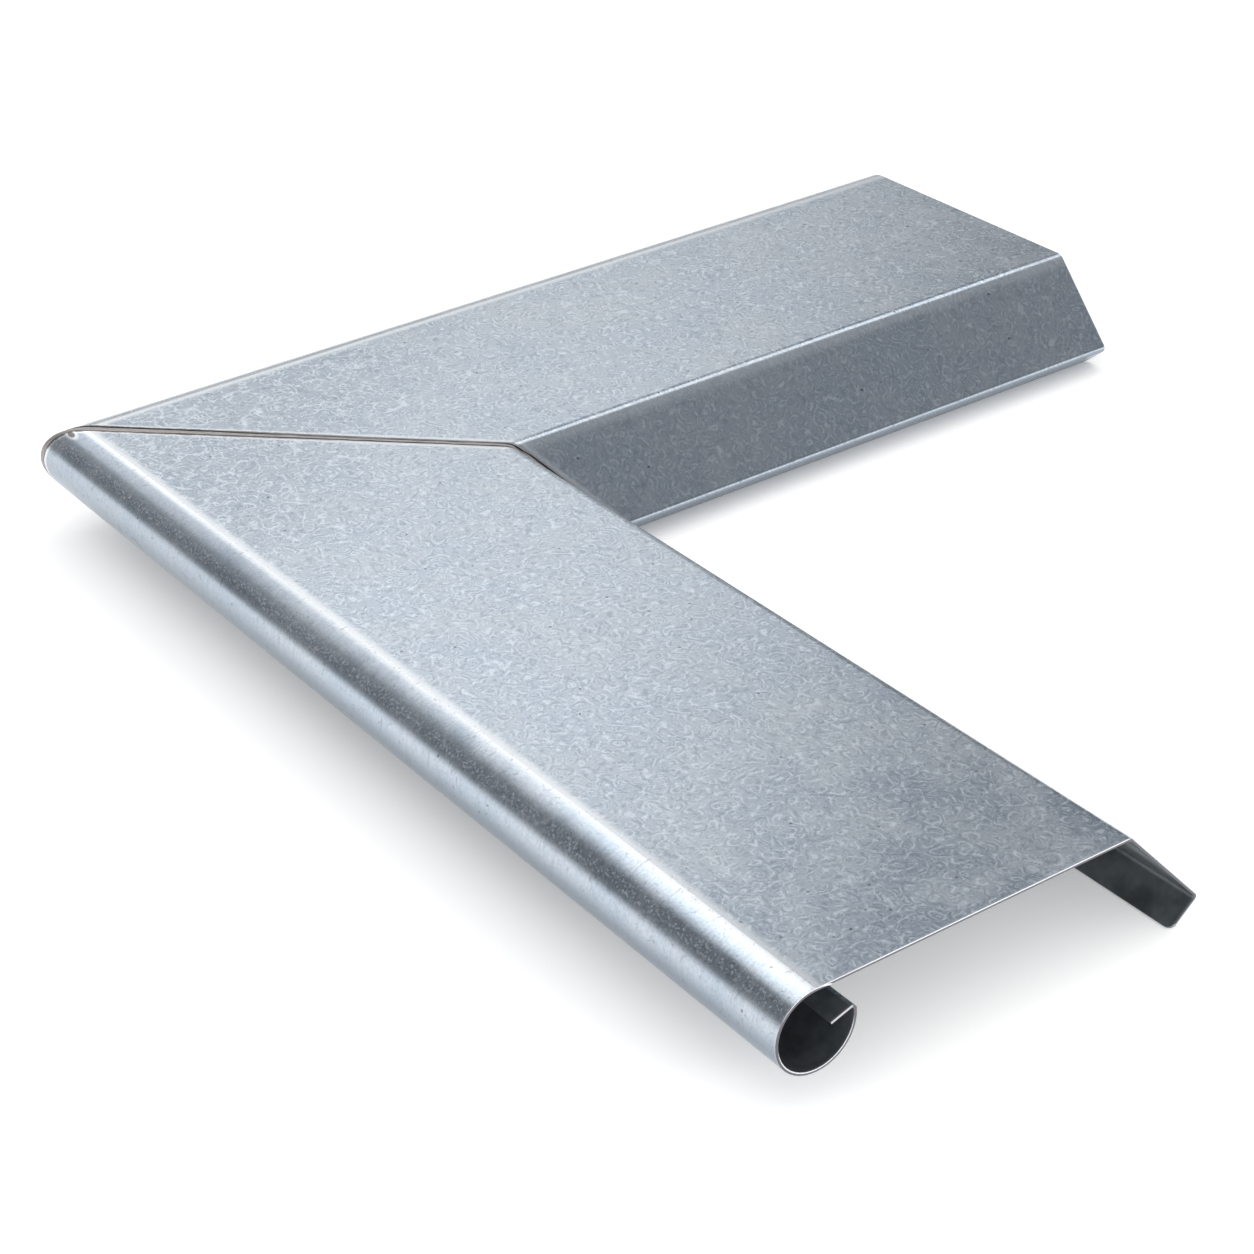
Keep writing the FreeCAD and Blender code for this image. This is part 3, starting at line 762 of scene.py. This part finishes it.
def sheet_finish(name, shift, along_axis, across_axis):
    finish = bpy.data.materials.new(name)
    finish.use_nodes = True
    tree = finish.node_tree
    tree.nodes.clear()
    position = add(tree, "TexCoord")
    place, facing = position.outputs["Object"], position.outputs["Normal"]
    joint = use_group(tree, joint_group, {"Place": place})
    cells = smooth(tree, joint["Along"], *CELL_RANGE)
    grain = use_group(tree, grain_group, {"Place": place, "Shift": shift, "Cells": cells})
    across_here = measure(tree, place, across_axis)
    facing_across = add(tree, "VectorMath", {0: facing, 1: across_axis}, operation="DOT_PRODUCT").outputs["Value"]
    edge = use_group(tree, edge_group, {"Place": place, "Facing": facing, "Facing across": facing_across,
                                        "Across": across_here})
    zone = use_group(tree, zone_group, {"Place": place, "Across": across_here})

    outer = calc(tree, "SUBTRACT", 1.0, edge["Inside"])
    on_bead = calc(tree, "MULTIPLY", zone["Bead"], outer)
    hidden = calc(tree, "MULTIPLY_ADD", zone["Flange"], FLANGE_HIDES, part_of(tree, zone["Bead"], BEAD_HIDES))
    plain = calc(tree, "MULTIPLY", outer, calc(tree, "SUBTRACT", 1.0, hidden))
    ridge_mask = calc(tree, "MULTIPLY", grain["Ridges"], plain)
    vein_share = calc(tree, "MULTIPLY_ADD", cells, VEINS_NEAR_CORNER, VEINS_ANYWHERE)
    vein_share = calc(tree, "MAXIMUM", vein_share, part_of(tree, zone["Flange"], VEINS_ON_FLANGE))
    off_bead = calc(tree, "SUBTRACT", outer, on_bead)
    vein_mask = calc(tree, "MULTIPLY", grain["Veins"], calc(tree, "MULTIPLY", vein_share, off_bead))

    colour = grain_colour(tree, grain, zone, cells, plain, ridge_mask, vein_mask)
    colour, marks, pale_dots = marks_and_painted_light(tree, colour, place, along_axis, grain, zone, joint, on_bead,
                                             edge["Inside"])
    colour = end_colour(tree, colour, place, joint, edge)

    bare = calc(tree, "SUBTRACT", 1.0, dullness(tree, grain, zone, edge, ridge_mask, pale_dots))
    rough = smooth(tree, grain["Patches"], 0.0, 1.0, SATIN + SATIN_SPREAD[0], SATIN + SATIN_SPREAD[1])
    rough = calc(tree, "MULTIPLY_ADD", on_bead, BEAD_SMOOTHER, rough)
    rough = calc(tree, "MAXIMUM", rough, part_of(tree, edge["Inside"], INNER_ROUGH))
    dents = calc(tree, "MAXIMUM", grain["Pits"], part_of(tree, marks, 0.3))
    relief = calc(tree, "MULTIPLY_ADD", dents, -1.0, calc(tree, "MULTIPLY", grain["Height"], plain))
    bump = add(tree, "Bump", {"Height": relief, "Distance": BUMP_REACH, "Strength": BUMP_STRENGTH})
    metal = add(tree, "BsdfPrincipled", {"Base Color": colour, "Roughness": rough, "Metallic": bare,
                                         "Normal": bump.outputs[0]})
    add(tree, "OutputMaterial", {"Surface": metal.outputs[0]})
    return finish


X_AXIS, Y_AXIS = Vector((1, 0, 0)), Vector((0, 1, 0))
long_sheet = sheet_finish("galvanised_sheet_long", (0.0, 0.0, 0.0), X_AXIS, Y_AXIS)
short_sheet = sheet_finish("galvanised_sheet_short", (0.71, 0.37, 0.53), Y_AXIS, X_AXIS)
print("sheet finish has", len(long_sheet.node_tree.nodes), "nodes")

# %% [markdown]
# ## The solder
#
# Soft solder starts bright and soon goes dull. Wiped along the joint it has streaks that run with it, and
# the flux has burnt in a brown line on both sides. The lines run closer together towards the inner corner
# and apart again down the flange, and outside them the edge of the sheet is tinned. The colour is set by
# the distance from the middle of the joint, and a noise that is stretched along it makes the streaks.

# %% Solder finish
SOLDER_GREY = (0.36, 0.335, 0.325, 1)
SOLDER_PALE = (0.64, 0.62, 0.61, 1)
SOLDER_TINNED = (0.66, 0.70, 0.74, 1)
BURNT = (0.035, 0.026, 0.025, 1)
STREAK_ACROSS = 5.0
STREAK_ALONG = 0.22
BURNT_LINE = (15.0, 95.0, 1.15, 0.74)
BURNT_DOWN_FLANGE = (-1.0, -4.0, 0.0, 0.4)
BURNT_WIDTH = (0.34, 0.14)
TINNED_FROM = (0.12, 0.30)
STREAK_RELIEF = 0.00005

solder = bpy.data.materials.new("soft_solder")
solder.use_nodes = True
tree = solder.node_tree
tree.nodes.clear()
place = add(tree, "TexCoord").outputs["Object"]
joint = use_group(tree, joint_group, {"Place": place})
streak_place = add(tree, "CombineXYZ", {"X": calc(tree, "MULTIPLY", joint["Across"], STREAK_ACROSS),
                                        "Y": calc(tree, "MULTIPLY", joint["Along"], STREAK_ALONG)}).outputs[0]
streaks = noise(tree, streak_place, 1.0, 3.0, 0.6)
wander = calc(tree, "MULTIPLY_ADD", noise(tree, streak_place, 0.35, 1.0), 0.5, -0.25)
off_middle = calc(tree, "ABSOLUTE", calc(tree, "ADD", joint["Across"], wander))
colour = tint(tree, smooth(tree, streaks, 0.42, 0.66), SOLDER_GREY, SOLDER_PALE)
burnt_line = smooth(tree, joint["Along"], *BURNT_LINE)
down_flange = smooth(tree, measure(tree, place, Vector((0, 0, 1))), *BURNT_DOWN_FLANGE)
off_line = calc(tree, "SUBTRACT", off_middle, calc(tree, "ADD", burnt_line, down_flange))
colour = tint(tree, smooth(tree, off_line, *TINNED_FROM), colour, SOLDER_TINNED)
colour = tint(tree, smooth(tree, calc(tree, "ABSOLUTE", off_line), *BURNT_WIDTH), colour, BURNT)
bump = add(tree, "Bump", {"Height": streaks, "Distance": STREAK_RELIEF, "Strength": 0.6})
metal = add(tree, "BsdfPrincipled", {"Base Color": colour, "Normal": bump.outputs[0],
                                     "Roughness": smooth(tree, streaks, 0.3, 0.7, 0.40, 0.55)})
metal.inputs["Metallic"].default_value = 0.70
add(tree, "OutputMaterial", {"Surface": metal.outputs[0]})
print("solder finish has", len(tree.nodes), "nodes")

# %% [markdown]
# ## The run of solder
#
# In the solid model the solder is a flat strip, three tenths of a millimetre below the face of the sheet.
# The real one was melted in by hand: it is crowned, a little lumpy, and rises and falls along the joint.
# So it is made again as a grid of points that follows the outer line of the section. A pen walks along
# that line, straight or round a bend, and each row of points lies across the joint at one place of the pen.
# The section is folded at the joint, so a point beside the joint moves along its own leg.

# %% Outer line of the section
PEN_STEP = 0.4
BEAD_WRAP = 274.0
FOLD_RADIUS = 1.3
LIP_LENGTH = 5.0
FLANGE_BEND = 3.2
FLANGE_LENGTH = 31.0
RETURN_BEND = 1.7
RETURN_TURN = 92.0
RETURN_LENGTH = 9.6


def step(angle, length):
    return Vector((math.cos(math.radians(angle)), math.sin(math.radians(angle)))) * length


def setback(radius, turn):
    return radius * math.tan(math.radians(turn / 2))


def walk(point, heading, stretches):
    """points of the stretches, each a length, or a radius and a turn, with the way out of the sheet"""
    track = [(point, step(heading + 90, 1.0))]
    for length, turn in stretches:
        whole = math.radians(turn) * length if turn else length
        count = max(2, round(whole / PEN_STEP))
        chord = 2 * length * math.sin(math.radians(turn / count / 2)) if turn else length / count
        for _ in range(count):
            point = point + step(heading - turn / count / 2, chord)
            heading -= turn / count
            track.append((point, step(heading + 90, 1.0)))
    return track


fold_start = BEAD_WRAP - 270
bead_middle = Vector((BEAD_RADIUS, -BEAD_RADIUS))
fold_middle = bead_middle + step(fold_start, BEAD_RADIUS - FOLD_RADIUS)
lip_edge = fold_middle + step(90 + LIP_SLOPE, FOLD_RADIUS) - step(LIP_SLOPE, LIP_LENGTH)
bend_back, return_back = setback(FLANGE_BEND, FLANGE_SLOPE), setback(RETURN_BEND, RETURN_TURN)
section = walk(lip_edge, LIP_SLOPE, [
    (LIP_LENGTH, 0), (FOLD_RADIUS, 90 + LIP_SLOPE - fold_start), (BEAD_RADIUS, BEAD_WRAP),
    (WEB_WIDTH - BEAD_RADIUS - bend_back, 0), (FLANGE_BEND, FLANGE_SLOPE),
    (FLANGE_LENGTH - bend_back - return_back, 0), (RETURN_BEND, RETURN_TURN), (RETURN_LENGTH - return_back, 0)])
print("section line has", len(section), "points and ends at", [round(v, 2) for v in section[-1][0]])

# %% [markdown]
# The height of each point comes from smooth noise: low lumps a few millimetres long, and a fine ripple
# where the iron was lifted. The crown stays just below the face of the sheet.

# %% Solder run
HALF_WIDTH = 1.3
COLUMNS = 13
FLUSH = 0.015
EDGE_DEPTH = 0.15
SOLE_DEPTH = 0.7
CROWN_RISE = 0.10
LUMP_RISE = 0.05
RIPPLE_RISE = 0.02
SHARP_ANGLE = 50


def solder_depth(along, across):
    lump = noise_at(Vector((along / 5.0, across / 1.6, 3.0)))
    ripple = noise_at(Vector((along / 1.1, across / 2.0, 8.0)))
    low_edge = EDGE_DEPTH + LUMP_RISE * noise_at(Vector((along / 3.0, math.copysign(4.0, across), 0.0)))
    crown = 1 - (across / HALF_WIDTH) ** 2
    return max(FLUSH, low_edge - crown * (CROWN_RISE + LUMP_RISE * lump) + RIPPLE_RISE * ripple)


def beside_joint(point, across):
    """a point of the section, moved off the joint along its leg, in the frame of the part"""
    off = abs(across) * math.sqrt(2)
    x, y = (point.x + off, point.x) if across > 0 else (point.x, point.x + off)
    return CORNER + Vector((x, y, point.y)) / TO_MM


run_mesh = bpy.data.meshes.new("solder_run")
shape = bmesh.new()
rows = []
for index, (point, out) in enumerate(section):
    spread = [HALF_WIDTH * (2 * column / (COLUMNS - 1) - 1) for column in range(COLUMNS)]
    face = [beside_joint(point - out * solder_depth(index * PEN_STEP, across), across) for across in spread]
    sole = [beside_joint(point - out * SOLE_DEPTH, across) for across in reversed(spread)]
    rows.append([shape.verts.new(place) for place in face + sole])
for first, second in zip(rows, rows[1:]):
    for k in range(len(first)):
        shape.faces.new((first[k], first[k - 1], second[k - 1], second[k]))
shape.faces.new(rows[0])
shape.faces.new(list(reversed(rows[-1])))
bmesh.ops.recalc_face_normals(shape, faces=shape.faces)
shape.to_mesh(run_mesh)
shape.free()
run_mesh.shade_smooth()
run_mesh.set_sharp_from_angle(angle=math.radians(SHARP_ANGLE))
solder_run = bpy.data.objects.new("solder_run", run_mesh)
bpy.context.scene.collection.objects.link(solder_run)
run_mesh.materials.append(solder)
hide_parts("mitre_solder")
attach(solder_run, "root")
print("solder run has", len(run_mesh.polygons), "faces")

# %% [markdown]
# ## Dress the legs
#
# The two legs keep their shape and place. Only their material slots change.

# %% Assign the finishes
for node_name, finish in {"long_leg": long_sheet, "short_leg": short_sheet}.items():
    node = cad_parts[node_name]
    for slot in node.material_slots:
        slot.material = finish
    print(node_name, "has", len(node.data.polygons), "faces and the finish", finish.name)

# %% [markdown]
# ## Finish
#
# The picture uses the standard view transform.

# %% Finish
bpy.context.scene.view_settings.view_transform = "Standard"
